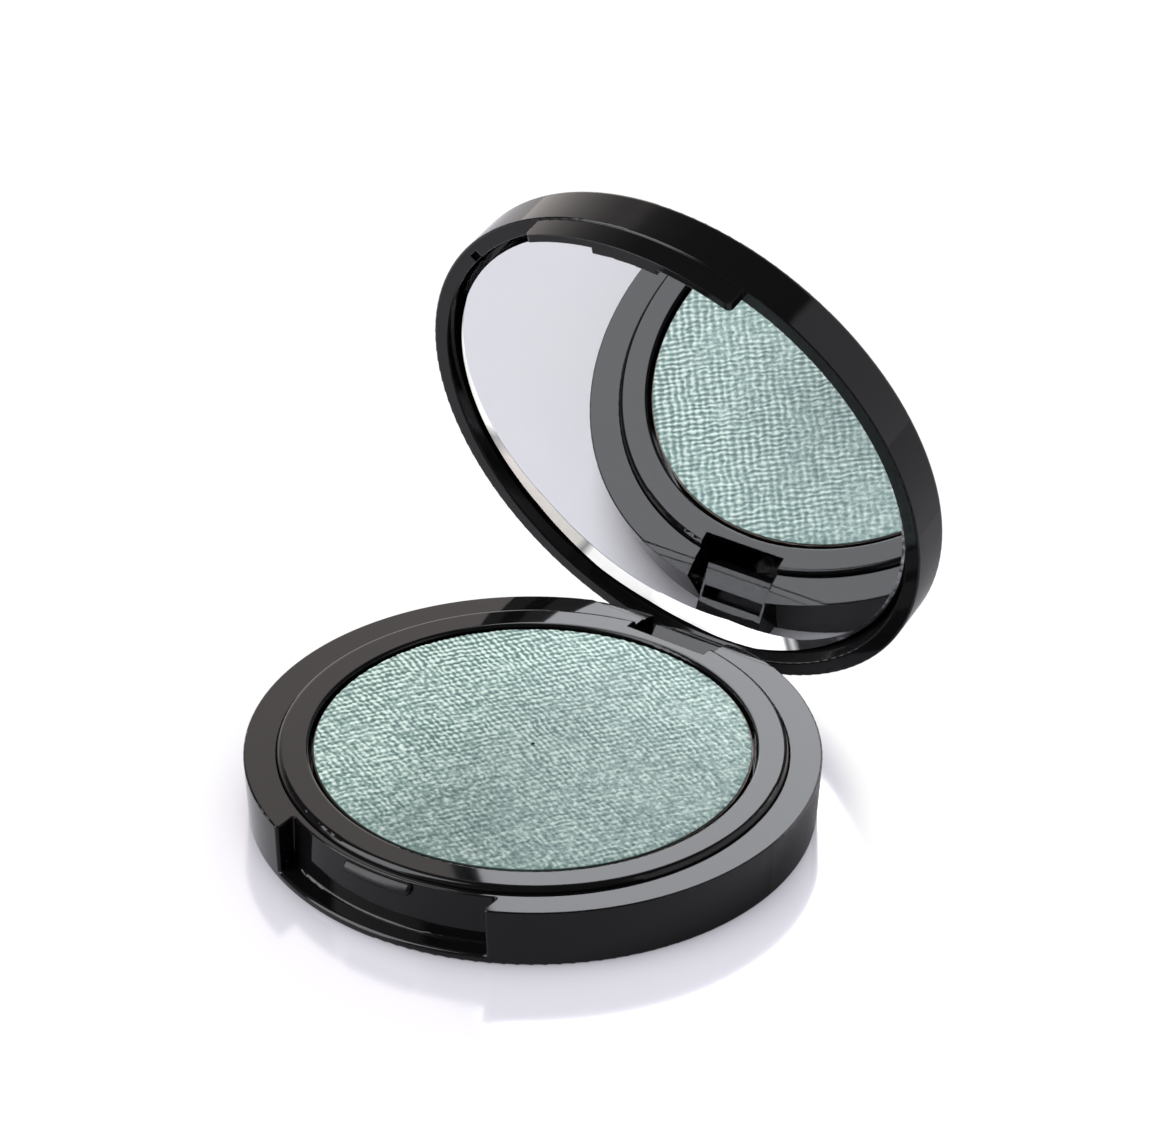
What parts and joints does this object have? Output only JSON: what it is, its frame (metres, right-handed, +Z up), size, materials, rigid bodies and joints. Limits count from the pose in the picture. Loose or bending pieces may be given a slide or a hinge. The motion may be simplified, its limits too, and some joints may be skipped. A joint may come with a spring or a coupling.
{
  "type": "powder compact",
  "caption": "Round flat compact, shown open: mirrored lid on a rear hinge over a shallow base with pressed powder in a raised frame, a front latch recess and catch.",
  "frame": {"origin": "centre of the underside of the base, on the table plane", "axes": "+Z up, -Y towards the latch at the front, +Y towards the hinge, +X to the right seen from the front"},
  "size_m": [0.0766, 0.085, 0.0767],
  "materials": {
    "case_plastic": "high gloss black",
    "frame_plastic": "high gloss black",
    "adhesive": "matt foam adhesive",
    "pan_tin": "bare metal",
    "powder": "pressed pearlescent powder with a woven embossing",
    "pin_steel": "drawn wire",
    "mirror_silver": "silvered, ground bevel"
  },
  "bodies": {
    "base": {"base_shell": "case_plastic", "pan_frame": "frame_plastic", "pan_adhesive": "adhesive", "powder_pan": "pan_tin", "powder_cake": "powder", "hinge_pin": "pin_steel"},
    "lid": {"lid_shell": "case_plastic", "mirror_plate": "mirror_silver", "mirror_adhesive": "adhesive"}
  },
  "joints": [
    {"name": "lid_hinge", "type": "hinge", "parent": "base", "child": "lid", "pos_m": [0, 0.0351, 0.003], "axis": [-1, 0, 0], "range_deg": [-76, 8]}
  ]
}
